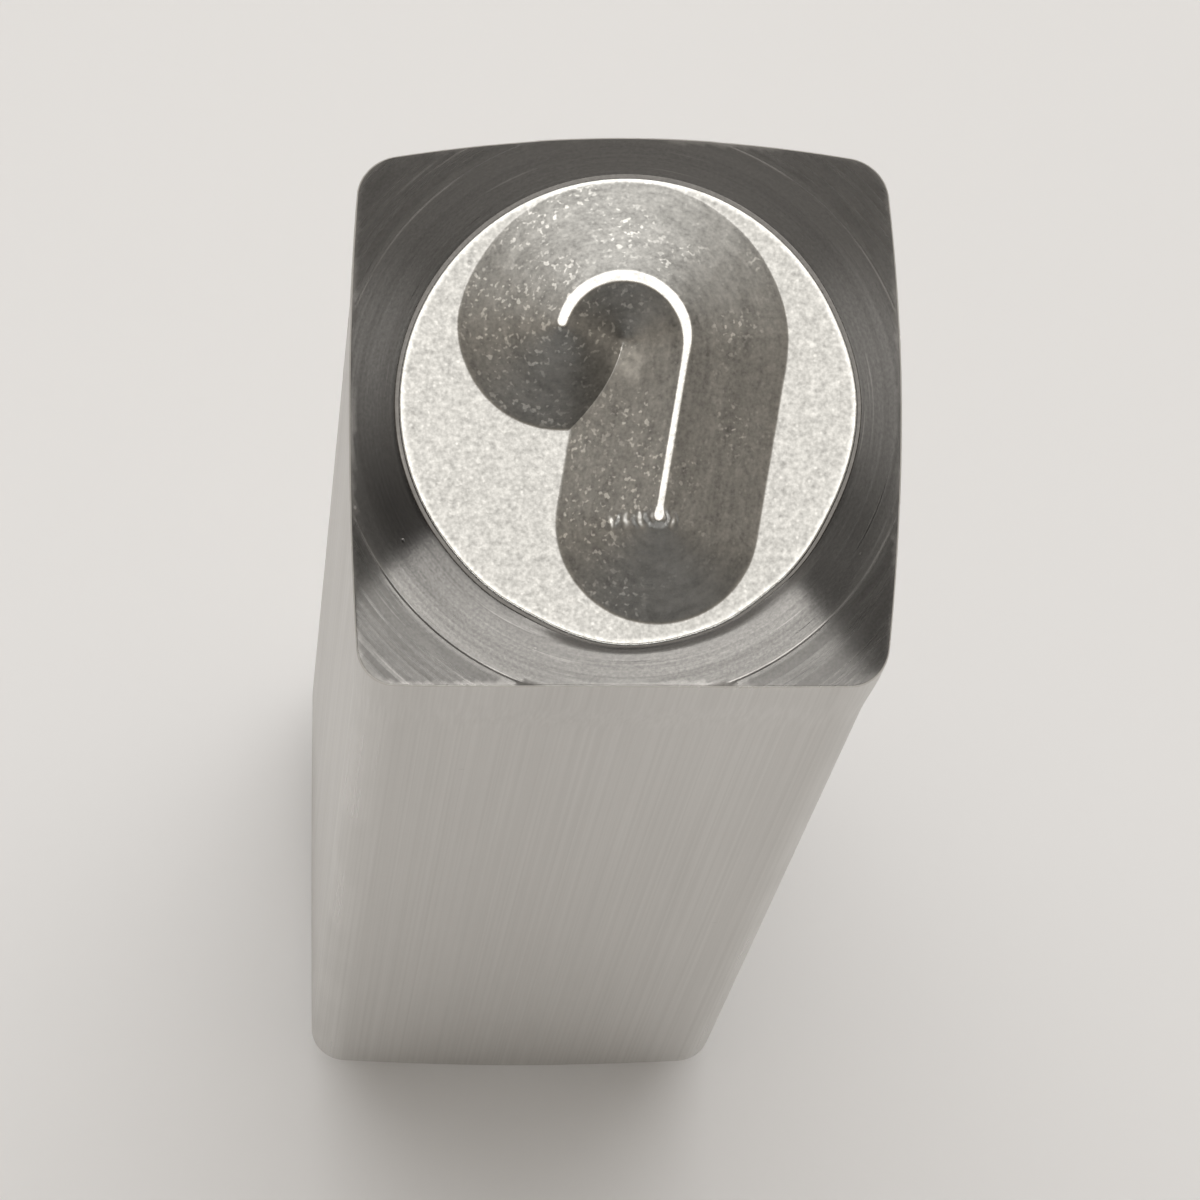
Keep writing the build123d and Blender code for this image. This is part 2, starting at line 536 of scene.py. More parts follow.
def add_foot_bands(bands, punch, bar, top_level):
    """The plain bar, then the turned bevel and the struck face, with their edges worn round."""
    ease = punch.edge_break / MM
    slope = tan(punch.struck_bevel_slope)
    struck = punch.struck_face_diameter / 2 / MM
    reach = np.hypot(*bar.T)
    outwards = bar / reach[:, None]
    bevel_level = (reach - struck) * slope
    bar_foot = bevel_level.max() + 4 * ease
    for level in np.linspace(top_level, bar_foot, 18)[1:]:
        bands.add(bar, level, BAR)
    for share in (0.33, 0.66, 0.97):
        bands.add(bar, bar_foot * (1 - share) + (bevel_level + ease) * share, BAR)
    for t, zone in ((0, BAR), (0.25, BAR), (0.5, STRUCK_END), (0.75, STRUCK_END), (1, STRUCK_END)):
        radius = reach - t**2 * ease
        level = bevel_level + (1 - t) ** 2 * ease - t**2 * ease * slope
        bands.add(outwards * radius[:, None], level, zone, wear=1)
    for share in (0.97, 0.75, 0.5, 0.25, 0.03):
        radius = struck + 2 * ease + (reach - struck - 3 * ease) * share
        bands.add(outwards * radius[:, None], (radius - struck) * slope, STRUCK_END)
    for t in (0, 0.33, 0.67, 1):
        radius = struck + 2 * ease * ((1 - t) ** 2 - t**2)
        bands.add(outwards * radius, 2 * ease * (1 - t) ** 2 * slope, STRUCK_END, wear=1)
    for share in (0.94, 0.85, 0.6, 0.35, 0.12):
        bands.add(outwards * struck * share, 0, STRUCK_END)


def blank_mesh(punch, letter):
    """The turned bar with a flat face, as one closed mesh whose top is laid out to take the letter."""
    half = punch.bar_width / 2 / MM
    corner = punch.corner_radius / MM
    face_level = (punch.overall_length - letter.relief_height) / MM
    profile = head_profile(punch)
    rim = Rim(punch, letter)
    per_side, per_corner = 64, 20
    head = square_outline(half, punch.head_bulge / MM, corner, per_side, per_corner)
    bar = square_outline(half, 0, corner, per_side, per_corner)
    bands = Bands()
    swell_none = add_head_bands(bands, punch, (head, bar), face_level, profile)
    add_foot_bands(bands, punch, bar, swell_none)

    # The top is a net of triangles inside the first of those rows
    boundary = bands.rows[0][:, :2]
    line = letter_line(letter)
    net = Net()
    net.add_run(np.vstack([boundary, boundary[:1]]))
    add_turned_rings(net, rim, profile, boundary)
    add_letter_rows(net, line, rim)
    add_loose_points(net, line, rim)
    flat, triangles = net.triangles()
    turned = rim.turned_radius(flat)
    top = np.column_stack([flat, face_level + np.interp(turned, profile[:, 0], profile[:, 1])])
    top_wear = np.where(room_within(boundary, flat) < 0.002, 1.0, 0.0)

    faces = list(triangles)
    face_zones = [FACE if r < rim.face else CONE for r in turned[np.array(triangles)].mean(axis=1)]
    count = len(bar)
    first = len(top)
    for index, zone in enumerate(bands.zones[1:]):
        upper = first + index * count
        for i in range(count):
            j = (i + 1) % count
            faces.append((upper + i, upper + count + i, upper + count + j, upper + j))
            face_zones.append(zone)
    last = first + (len(bands.rows) - 1) * count
    for i in range(count):
        faces.append((last + (i + 1) % count, last + i, last + count))
        face_zones.append(STRUCK_END)

    mesh = bpy.data.meshes.new("turned_blank")
    mesh.from_pydata((np.vstack([top, *bands.rows, [[0, 0, 0]]]) * MM).tolist(), [], faces)
    mesh.attributes.new("zone", "INT", "FACE").data.foreach_set("value", face_zones)
    wear = np.concatenate([top_wear, *bands.wear, [0.0]])
    mesh.attributes.new("wear", "FLOAT", "POINT").data.foreach_set("value", wear)
    turned = np.concatenate([turned, *(np.hypot(*row[:, :2].T) for row in bands.rows), [0.0]]) * MM
    mesh.attributes.new("turned_radius", "FLOAT", "POINT").data.foreach_set("value", turned)
    shape = bmesh.new()
    shape.from_mesh(mesh)
    bmesh.ops.remove_doubles(shape, verts=shape.verts, dist=2e-8)
    bmesh.ops.recalc_face_normals(shape, faces=shape.faces)
    loose = [edge for edge in shape.edges if not edge.is_manifold]
    if loose:
        raise RuntimeError(f"the blank has {len(loose)} open edges")
    shape.to_mesh(mesh)
    shape.free()
    mesh.shade_smooth()
    return mesh


def letter_tree():
    """Geometry Nodes that press the letter: the nearer a point of the face is to its line, the higher."""
    tree = bpy.data.node_groups.new("press_letter", "GeometryNodeTree")
    tree.is_modifier = True
    tree.interface.new_socket("Geometry", in_out="INPUT", socket_type="NodeSocketGeometry")
    places = ("Hook Centre", "Stem End")
    line_sizes = ("Hook Radius", "Hook Sweep", "Stem Lean", "Stem Length", "Stroke Width", "Stem Thinning")
    form_sizes = ("Relief Height", "Flank Slope", "Face Radius", "Cone Slope", "Ridge Wear", "Foot Blend")
    mark_sizes = ("Waviness", "Beading", "Nick Pitch", "Nick Depth")
    steels = ("Face Steel", "Cone Steel", "Bar Steel", "Struck Steel")
    for kind, names in (
        ("Vector", places),
        ("Float", line_sizes + form_sizes + mark_sizes),
        ("Int", ("Seed",)),
        ("Material", steels),
    ):
        for name in names:
            tree.interface.new_socket(name, in_out="INPUT", socket_type="NodeSocket" + kind)
    tree.interface.new_socket("Geometry", in_out="OUTPUT", socket_type="NodeSocketGeometry")
    given = add_node(tree, "NodeGroupInput").outputs

    # The letter's line, drawn at the origin and then set on the face
    hook = add_node(
        tree,
        "GeometryNodeCurveArc",
        {"Resolution": 240, "Radius": given["Hook Radius"], "Sweep Angle": given["Hook Sweep"]},
        mode="RADIUS",
    )
    stem_top = add_node(tree, "ShaderNodeCombineXYZ", {"X": given["Hook Radius"]})
    stem = add_node(
        tree,
        "GeometryNodeCurvePrimitiveLine",
        {"Start": stem_top, "Direction": (0, -1, 0), "Length": given["Stem Length"]},
        mode="DIRECTION",
    )
    strokes = add_node(tree, "GeometryNodeJoinGeometry", {0: hook})
    tree.links.new(stem.outputs["Curve"], strokes.inputs[0])
    clockwise = add_node(tree, "ShaderNodeMath", {0: given["Stem Lean"], 1: -1.0}, operation="MULTIPLY")
    lean = add_node(tree, "ShaderNodeCombineXYZ", {"Z": clockwise})
    placed = add_node(
        tree,
        "GeometryNodeTransform",
        {"Geometry": strokes, "Translation": given["Hook Centre"], "Rotation": lean},
    )
    wire = add_node(tree, "GeometryNodeCurveToMesh", {"Curve": placed})

    # Each point's distance from that line, looking straight down on the face
    place = add_node(tree, "GeometryNodeInputPosition").outputs[0]
    part = add_node(tree, "ShaderNodeSeparateXYZ", {0: place}).outputs
    centre = add_node(tree, "ShaderNodeSeparateXYZ", {0: given["Hook Centre"]}).outputs
    flat = add_node(tree, "ShaderNodeCombineXYZ", {"X": part["X"], "Y": part["Y"], "Z": centre["Z"]})
    nearest = add_node(
        tree, "GeometryNodeProximity", {"Geometry": wire, "Sample Position": flat}, target_element="EDGES"
    )
    distance = nearest.outputs["Distance"]

    # The edges wander a little, as on any pressed letter, in waves about a quarter of a millimetre long
    wave = 0.25 * MM
    wander = add_node(
        tree,
        "ShaderNodeTexNoise",
        {"Vector": place, "W": given["Seed"], "Scale": 1 / wave, "Detail": 2.0},
        noise_dimensions="4D",
    )
    swing = add_node(tree, "ShaderNodeMath", {0: wander, 1: 0.5}, operation="SUBTRACT")
    wandered = add_node(
        tree, "ShaderNodeMath", {0: swing, 1: given["Waviness"], 2: distance}, operation="MULTIPLY_ADD"
    )

    # The ridge is narrower on the stem than on the hook, has a small blob at its end, and comes and goes
    above = add_node(tree, "ShaderNodeMath", {0: part["Y"], 1: centre["Y"]}, operation="SUBTRACT")
    hook_share = add_node(
        tree,
        "ShaderNodeMapRange",
        {"Value": above, "From Min": -0.4 * MM, "From Max": 0.4 * MM, "To Min": given["Stem Thinning"]},
        interpolation_type="SMOOTHSTEP",
    )
    from_end = add_node(tree, "ShaderNodeVectorMath", {0: flat, 1: given["Stem End"]}, operation="SUBTRACT")
    to_end = add_node(tree, "ShaderNodeVectorMath", {0: from_end}, operation="LENGTH").outputs["Value"]
    blob = add_node(
        tree,
        "ShaderNodeMapRange",
        {"Value": to_end, "From Min": 0.14 * MM, "From Max": 0.06 * MM, "To Max": 0.35},
    )
    widened = add_node(tree, "ShaderNodeMath", {0: hook_share, 1: blob}, operation="ADD")
    bead = add_node(tree, "ShaderNodeMath", {0: swing, 1: given["Beading"], 2: 0.5}, operation="MULTIPLY_ADD")
    half_share = add_node(tree, "ShaderNodeMath", {0: widened, 1: bead}, operation="MULTIPLY")
    half_stroke = add_node(
        tree, "ShaderNodeMath", {0: given["Stroke Width"], 1: half_share}, operation="MULTIPLY"
    )

    # One slope all round, cut off flat at the ridge and running out softly at the foot
    slope = add_node(tree, "ShaderNodeMath", {0: given["Flank Slope"]}, operation="TANGENT")
    from_ridge = add_node(tree, "ShaderNodeMath", {0: wandered, 1: half_stroke}, operation="SUBTRACT")
    drop = add_node(tree, "ShaderNodeMath", {0: from_ridge, 1: slope}, operation="MULTIPLY")
    flank = add_node(tree, "ShaderNodeMath", {0: given["Relief Height"], 1: drop}, operation="SUBTRACT")
    ridged = add_node(
        tree,
        "ShaderNodeMath",
        {0: flank, 1: given["Relief Height"], 2: given["Ridge Wear"]},
        operation="SMOOTH_MIN",
    )
    footed = add_node(
        tree, "ShaderNodeMath", {0: ridged, 1: 0.0, 2: given["Foot Blend"]}, operation="SMOOTH_MAX"
    )

    # A ragged row of small nicks crosses the stem's end: uneven waves, kept to a window that is longer on
    # the left
    end_part = add_node(tree, "ShaderNodeSeparateXYZ", {0: from_end}).outputs
    turns = add_node(tree, "ShaderNodeMath", {0: end_part["X"], 1: given["Nick Pitch"]}, operation="DIVIDE")
    uneven = add_node(tree, "ShaderNodeMath", {0: swing, 1: 2.2, 2: turns}, operation="MULTIPLY_ADD")
    phase = add_node(tree, "ShaderNodeMath", {0: uneven, 1: 2 * pi}, operation="MULTIPLY")
    nicks = add_node(tree, "ShaderNodeMath", {0: phase}, operation="SINE")
    beside = add_node(tree, "ShaderNodeMath", {0: end_part["X"]}, operation="ABSOLUTE")
    for measure, near, far in (
        (swing, -0.30, -0.10),
        (beside, 0.05 * MM, 0.09 * MM),
        (end_part["X"], -0.66 * MM, -0.50 * MM),
        (end_part["X"], 0.26 * MM, 0.16 * MM),
        (end_part["Y"], -0.13 * MM, -0.07 * MM),
        (end_part["Y"], 0.08 * MM, 0.02 * MM),
    ):
        window = add_node(tree, "ShaderNodeMapRange", {"Value": measure, "From Min": near, "From Max": far})
        nicks = add_node(tree, "ShaderNodeMath", {0: nicks, 1: window}, operation="MULTIPLY")
    nicked = add_node(
        tree, "ShaderNodeMath", {0: nicks, 1: given["Nick Depth"], 2: footed}, operation="MULTIPLY_ADD"
    )

    # Nothing of the letter stands outside the cone that the blank was turned to
    level = add_node(tree, "ShaderNodeCombineXYZ", {"X": part["X"], "Y": part["Y"]})
    radius = add_node(tree, "ShaderNodeVectorMath", {0: level}, operation="LENGTH").outputs["Value"]
    room = add_node(tree, "ShaderNodeMath", {0: given["Face Radius"], 1: radius}, operation="SUBTRACT")
    cone_slope = add_node(tree, "ShaderNodeMath", {0: given["Cone Slope"]}, operation="TANGENT")
    cone_height = add_node(tree, "ShaderNodeMath", {0: room, 1: cone_slope}, operation="MULTIPLY")
    limit = add_node(tree, "ShaderNodeMath", {0: cone_height, 1: 0.0}, operation="MAXIMUM")
    height = add_node(tree, "ShaderNodeMath", {0: nicked, 1: limit}, operation="MINIMUM")
    rise = add_node(tree, "ShaderNodeCombineXYZ", {"Z": height})
    pressed = add_node(tree, "GeometryNodeSetPosition", {"Geometry": given["Geometry"], "Offset": rise})

    # Kept for the finishes: millimetres from the middle of the stroke, and the share of the full relief
    for name, value, unit in (
        ("stroke_distance", distance, MM),
        ("relief", height, given["Relief Height"]),
    ):
        share = add_node(tree, "ShaderNodeMath", {0: value, 1: unit}, operation="DIVIDE")
        pressed = add_node(
            tree,
            "GeometryNodeStoreNamedAttribute",
            {"Geometry": pressed, "Name": name, "Value": share},
            data_type="FLOAT",
            domain="POINT",
        )

    finished = add_node(tree, "GeometryNodeRealizeInstances", {"Geometry": pressed})
    zone = add_node(tree, "GeometryNodeInputNamedAttribute", {"Name": "zone"}, data_type="INT")
    for number, name in zip((FACE, CONE, BAR, STRUCK_END), steels):
        here = add_node(tree, "FunctionNodeCompare", {2: zone, 3: number}, data_type="INT", operation="EQUAL")
        finished = add_node(
            tree,
            "GeometryNodeSetMaterial",
            {"Geometry": finished, "Selection": here, "Material": given[name]},
        )
    add_node(tree, "NodeGroupOutput", {0: finished})
    return tree


def new_steel(name):
    """An empty material, with the punch's own coordinates and its turned radius to build on."""
    material = bpy.data.materials.new(name)
    material.use_nodes = True
    tree = material.node_tree
    tree.nodes.clear()
    place = add_node(tree, "ShaderNodeTexCoord").outputs["Object"]
    radius = add_node(tree, "ShaderNodeAttribute", attribute_name="turned_radius").outputs["Fac"]
    return material, tree, place, radius


def drawn_out_marks(tree, place, distance, width, length):
    """Noise drawn out along lines of equal distance: marks of one width and about one length."""
    across = add_node(tree, "ShaderNodeMath", {0: distance, 1: width}, operation="DIVIDE")
    along = add_node(tree, "ShaderNodeVectorMath", {0: place, "Scale": 1 / length}, operation="SCALE")
    part = add_node(tree, "ShaderNodeSeparateXYZ", {0: along}).outputs
    drawn_out = add_node(tree, "ShaderNodeCombineXYZ", {"X": across, "Y": part["X"], "Z": part["Y"]})
    return add_node(tree, "ShaderNodeTexNoise", {"Vector": drawn_out, "Scale": 1.0, "Detail": 1.0})


def scattered_spots(tree, place, spacing, size, share):
    """Round spots of one size at a share of the points of a scatter: 0 beside a spot and 1 in its middle."""
    cells = add_node(tree, "ShaderNodeTexVoronoi", {"Vector": place, "Scale": 1 / spacing})
    reach = size / 2 / spacing
    near = add_node(
        tree,
        "ShaderNodeMapRange",
        {"Value": cells.outputs["Distance"], "From Min": reach, "From Max": reach / 2},
    )
    pick = add_node(tree, "ShaderNodeSeparateColor", {0: cells.outputs["Color"]})
    picked = add_node(tree, "ShaderNodeMath", {0: pick, 1: share}, operation="LESS_THAN")
    return add_node(tree, "ShaderNodeMath", {0: near, 1: picked}, operation="MULTIPLY")


def finish_steel(material, colour, lightness, roughness, height, ring_gloss=0.0):
    """Ends a steel. Its lightness, roughness and height in metres are each a start, and what each mark adds.

    Ring gloss is how much sharper a turned steel reflects along its rings than across them."""
    tree = material.node_tree
    sums = []
    for start, marks in (lightness, roughness, height):
        total = start
        for mark, weight in marks:
            total = add_node(tree, "ShaderNodeMath", {0: mark, 1: weight, 2: total}, operation="MULTIPLY_ADD")
        sums.append(total)
    tint = add_node(tree, "ShaderNodeVectorMath", {0: colour, "Scale": sums[0]}, operation="SCALE")
    bump = add_node(tree, "ShaderNodeBump", {"Strength": 1.0, "Distance": 1.0, "Height": sums[2]})
    shader = add_node(
        tree,
        "ShaderNodeBsdfPrincipled",
        {"Base Color": tint, "Metallic": 1.0, "Roughness": sums[1], "Normal": bump},
    )
    if ring_gloss:
        # A quarter of a turn from the rings' own direction, so that the soft way is across them
        along_rings = add_node(tree, "ShaderNodeTangent", direction_type="RADIAL", axis="Z")
        tree.links.new(along_rings.outputs[0], shader.inputs["Tangent"])
        shader.inputs["Anisotropic"].default_value = ring_gloss
        shader.inputs["Anisotropic Rotation"].default_value = 0.25
    add_node(tree, "ShaderNodeOutputMaterial", {"Surface": shader})
    return material


def pressed_face_steel(colour, rim_radius, pale_patch_place):
    """Tool steel pressed by a master: matt grain, specks painted as glints, faint streaks, a worn ridge and
    rim with a painted highlight.
    """
    material, tree, place, radius = new_steel("pressed_face_steel")
    reach = add_node(tree, "ShaderNodeAttribute", attribute_name="stroke_distance").outputs["Fac"]
    relief = add_node(tree, "ShaderNodeAttribute", attribute_name="relief").outputs["Fac"]

    # The matt skin is a grain 45 micrometres across with flecks of 0.12 mm, darker on the flanks
    grain = add_node(tree, "ShaderNodeTexNoise", {"Vector": place, "Scale": 1 / (0.045 * MM), "Detail": 3.0})
    fleck = add_node(tree, "ShaderNodeTexNoise", {"Vector": place, "Scale": 1 / (0.12 * MM), "Detail": 1.0})
    off_face = add_node(tree, "ShaderNodeMapRange", {"Value": relief, "From Min": 0.01, "From Max": 0.05})
    on_ridge = add_node(tree, "ShaderNodeMapRange", {"Value": relief, "From Min": 0.986, "From Max": 0.997})
    flank = add_node(tree, "ShaderNodeMath", {0: off_face, 1: on_ridge}, operation="SUBTRACT")

    # Painted glints on high spots of the grain: round ones everywhere, and ragged ones in drifts about 0.8 mm
    # long, which are thicker towards the left; the ragged ones also stand up a little, and are painted
    # brightest on the flanks
    round_glints = scattered_spots(tree, place, 0.07 * MM, 0.045 * MM, 0.22)
    ragged = add_node(tree, "ShaderNodeTexNoise", {"Vector": place, "Scale": 1 / (0.07 * MM), "Detail": 1.0})
    ragged = add_node(tree, "ShaderNodeMapRange", {"Value": ragged, "From Min": 0.59, "From Max": 0.68})
    part = add_node(tree, "ShaderNodeSeparateXYZ", {0: place}).outputs
    more_on_left = add_node(
        tree,
        "ShaderNodeMapRange",
        {"Value": part["X"], "From Min": 0.7 * MM, "From Max": -0.3 * MM, "To Max": 0.18},
    )
    drift = add_node(tree, "ShaderNodeTexNoise", {"Vector": place, "Scale": 1 / (0.8 * MM), "Detail": 1.0})
    drift = add_node(tree, "ShaderNodeMath", {0: drift, 1: more_on_left}, operation="ADD")
    drifts = add_node(tree, "ShaderNodeMapRange", {"Value": drift, "From Min": 0.50, "From Max": 0.68})
    raised_specks_and_glints = add_node(tree, "ShaderNodeMath", {0: ragged, 1: drifts}, operation="MULTIPLY")
    flank_glints = add_node(tree, "ShaderNodeMath", {0: raised_specks_and_glints, 1: flank}, operation="MULTIPLY")

    # Small dark pits lie in the face, and the steel is painted paler in a patch just under the hook's middle
    pits = scattered_spots(tree, place, 0.13 * MM, 0.07 * MM, 0.35)
    to_pale_patch = add_node(tree, "ShaderNodeVectorMath", {0: place, 1: pale_patch_place}, operation="DISTANCE")
    pale_patch = add_node(
        tree,
        "ShaderNodeMapRange",
        {"Value": to_pale_patch.outputs["Value"], "From Min": 0.28 * MM, "From Max": 0.04 * MM},
        interpolation_type="SMOOTHSTEP",
    )
    pale_patch = add_node(tree, "ShaderNodeMath", {0: pale_patch, 1: fleck}, operation="MULTIPLY")

    # Faint streaks 60 micrometres wide and bands of 0.3 mm follow the flanks, alongside the ridge
    streak = drawn_out_marks(tree, place, reach, 0.06, 0.5 * MM)
    streak = add_node(tree, "ShaderNodeMath", {0: streak, 1: flank}, operation="MULTIPLY")
    band = drawn_out_marks(tree, place, reach, 0.30, 3 * MM)
    band = add_node(tree, "ShaderNodeMath", {0: band, 1: flank}, operation="MULTIPLY")

    # The rim is worn smooth and painted as bright as the ridge, a painted highlight on both, from 80
    # micrometres inside its edge
    on_rim = add_node(
        tree,
        "ShaderNodeMapRange",
        {"Value": radius, "From Min": rim_radius - 0.08 * MM, "From Max": rim_radius - 0.03 * MM},
    )
    wear_and_highlight = add_node(tree, "ShaderNodeMath", {0: on_ridge, 1: on_rim}, operation="MAXIMUM")
    return finish_steel(
        material,
        colour,
        lightness=(
            0.27,
            [
                (grain, 0.90),
                (fleck, 0.62),
                (flank, -0.50),
                (streak, 0.50),
                (band, 0.44),
                (round_glints, 0.25),
                (raised_specks_and_glints, 0.15),
                (flank_glints, 0.90),
                (pits, -0.16),
                (pale_patch, 1.20),
                (wear_and_highlight, 0.45),
            ],
        ),
        roughness=(0.43, [(grain, -0.16), (wear_and_highlight, -0.10)]),
        height=(0.0, [(grain, 1.1e-6), (streak, 0.4e-6), (raised_specks_and_glints, 0.5e-6)]),
    )


def turned_cone_steel(colour, ring_radius):
    """Steel turned in a lathe: fine rings, scratches and gouges along them, worn edges painted bright as a
    highlight, and small dents.
    """
    material, tree, place, radius = new_steel("turned_cone_steel")
    edge = add_node(tree, "ShaderNodeAttribute", attribute_name="wear").outputs["Fac"]

    # Tool marks 35 micrometres apart run right round, with shorter scratches and gouges between them
    rings = drawn_out_marks(tree, place, radius, 0.035 * MM, 6 * MM)
    arcs = drawn_out_marks(tree, place, radius, 0.045 * MM, 1.8 * MM)
    scratch = add_node(tree, "ShaderNodeMapRange", {"Value": arcs, "From Min": 0.68, "From Max": 0.80})
    gouge = add_node(tree, "ShaderNodeMapRange", {"Value": arcs, "From Min": 0.27, "From Max": 0.18})
    grain = add_node(tree, "ShaderNodeTexNoise", {"Vector": place, "Scale": 1 / (0.04 * MM), "Detail": 2.0})

    # Beyond the step in the corners the cut is rougher and duller; the step's edge and the worn edge are
    # painted bright in patches, wear with a painted highlight
    corner = add_node(
        tree,
        "ShaderNodeMapRange",
        {"Value": radius, "From Min": ring_radius + 0.005 * MM, "From Max": ring_radius + 0.085 * MM},
    )
    rough_cut = drawn_out_marks(tree, place, radius, 0.11 * MM, 0.5 * MM)
    rough_cut = add_node(tree, "ShaderNodeMath", {0: rough_cut, 1: corner}, operation="MULTIPLY")
    on_step = add_node(
        tree, "ShaderNodeMath", {0: radius, 1: ring_radius - 0.003 * MM, 2: 0.014 * MM}, operation="COMPARE"
    )
    patch = add_node(tree, "ShaderNodeTexNoise", {"Vector": place, "Scale": 1 / (0.9 * MM), "Detail": 2.0})
    patches = add_node(tree, "ShaderNodeMapRange", {"Value": patch, "From Min": 0.42, "From Max": 0.60})
    wear_and_highlight = add_node(tree, "ShaderNodeMath", {0: on_step, 1: edge}, operation="MAXIMUM")
    wear_and_highlight = add_node(tree, "ShaderNodeMath", {0: wear_and_highlight, 1: patches}, operation="MULTIPLY")

    # Knocks from other punches: bright dents and dark pits, some 60 micrometres across
    dents = scattered_spots(tree, place, 0.55 * MM, 0.065 * MM, 0.16)
    pits = scattered_spots(tree, place, 0.45 * MM, 0.055 * MM, 0.30)
    return finish_steel(
        material,
        colour,
        lightness=(
            0.60,
            [
                (rings, 0.24),
                (grain, 0.56),
                (scratch, 0.60),
                (gouge, -0.26),
                (corner, -0.26),
                (rough_cut, 0.40),
                (wear_and_highlight, 0.75),
                (dents, 1.20),
                (pits, -0.35),
            ],
        ),
        roughness=(0.28, [(rings, -0.10), (corner, 0.05)]),
        height=(
            0.0,
            [
                (rings, 0.35e-6),
                (grain, 0.35e-6),
                (gouge, -1.2e-6),
                (rough_cut, 1.2e-6),
                (dents, -2e-6),
                (pits, -2e-6),
            ],
        ),
        ring_gloss=0.7,
    )


def drawn_bar_steel(colour, corner_radius):
    """Cold drawn square bar: a satin skin with faint lines along it, burnished corners with a painted
    highlight, and small nicks.
    """
    material, tree, place, radius = new_steel("drawn_bar_steel")
    edge = add_node(tree, "ShaderNodeAttribute", attribute_name="wear").outputs["Fac"]

    # Drawn out along the bar are the die's lines, 40 micrometres wide and centimetres long, the slower
    # drifts of tone behind them, and the patches where an edge is worn and painted with a highlight
    drawn_out = []
    for width, length, detail in (
        (0.04 * MM, 45 * MM, 2.0),
        (1.4 * MM, 28 * MM, 2.0),
        (1.2 * MM, 9 * MM, 1.0),
    ):
        scale = (1 / width, 1 / width, 1 / length)
        stretched = add_node(tree, "ShaderNodeMapping", {"Vector": place, "Scale": scale})
        marks = {"Vector": stretched, "Scale": 1.0, "Detail": detail}
        drawn_out.append(add_node(tree, "ShaderNodeTexNoise", marks))
    lines, cloud, patch = drawn_out
    grain = add_node(tree, "ShaderNodeTexNoise", {"Vector": place, "Scale": 1 / (0.05 * MM), "Detail": 2.0})

    # The corners are burnished where their radius takes over from the flats, and the turned edges in places;
    # both are painted a little brighter as a highlight
    corner = add_node(
        tree,
        "ShaderNodeMapRange",
        {"Value": radius, "From Min": corner_radius, "From Max": corner_radius + 0.11 * MM},
    )
    patches = add_node(tree, "ShaderNodeMapRange", {"Value": patch, "From Min": 0.40, "From Max": 0.60})
    wear_and_highlight = add_node(tree, "ShaderNodeMath", {0: corner, 1: edge}, operation="MAXIMUM")
    wear_and_highlight = add_node(tree, "ShaderNodeMath", {0: wear_and_highlight, 1: patches}, operation="MULTIPLY")
    nicks = scattered_spots(tree, place, 1.9 * MM, 0.12 * MM, 0.35)
    return finish_steel(
        material,
        colour,
        lightness=(0.79, [(lines, 0.16), (cloud, 0.16), (grain, 0.10), (wear_and_highlight, 0.06), (nicks, -0.30)]),
        roughness=(0.42, [(lines, -0.12), (cloud, -0.08), (wear_and_highlight, -0.03)]),
        height=(0.0, [(lines, 0.35e-6), (grain, 0.2e-6), (nicks, -4e-6)]),
    )


def faced_end_steel(colour):
    """The struck end, faced and bevelled in the lathe: rings round the axis under a dull hammered skin."""
    material, tree, place, radius = new_steel("faced_end_steel")
    edge = add_node(tree, "ShaderNodeAttribute", attribute_name="wear").outputs["Fac"]

    # Rings 90 micrometres apart, a dull skin in patches of 0.8 mm, and dents that a hammer left
    rings = drawn_out_marks(tree, place, radius, 0.09 * MM, 4 * MM)
    dull = add_node(tree, "ShaderNodeTexNoise", {"Vector": place, "Scale": 1 / (0.8 * MM), "Detail": 3.0})
    dents = scattered_spots(tree, place, 0.9 * MM, 0.35 * MM, 0.40)
    # The worn edges are painted brighter: wear with a painted highlight
    return finish_steel(
        material,
        colour,
        lightness=(0.70, [(rings, 0.35), (dull, 0.25), (edge, 0.18), (dents, -0.10)]),
        roughness=(0.50, [(dull, -0.22), (edge, -0.08)]),
        height=(0.0, [(rings, 1.4e-6), (dull, 3e-6), (dents, -5e-6)]),
    )


def floor_paper(colour):
    """Plain matt backdrop paper, one even tone with no pattern."""
    material = bpy.data.materials.new("floor_paper")
    material.use_nodes = True
    shader = material.node_tree.nodes["Principled BSDF"]
    shader.inputs["Base Color"].default_value = (*colour, 1)
    shader.inputs["Roughness"].default_value = 0.9
    shader.inputs["Specular IOR Level"].default_value = 0.1
    return material


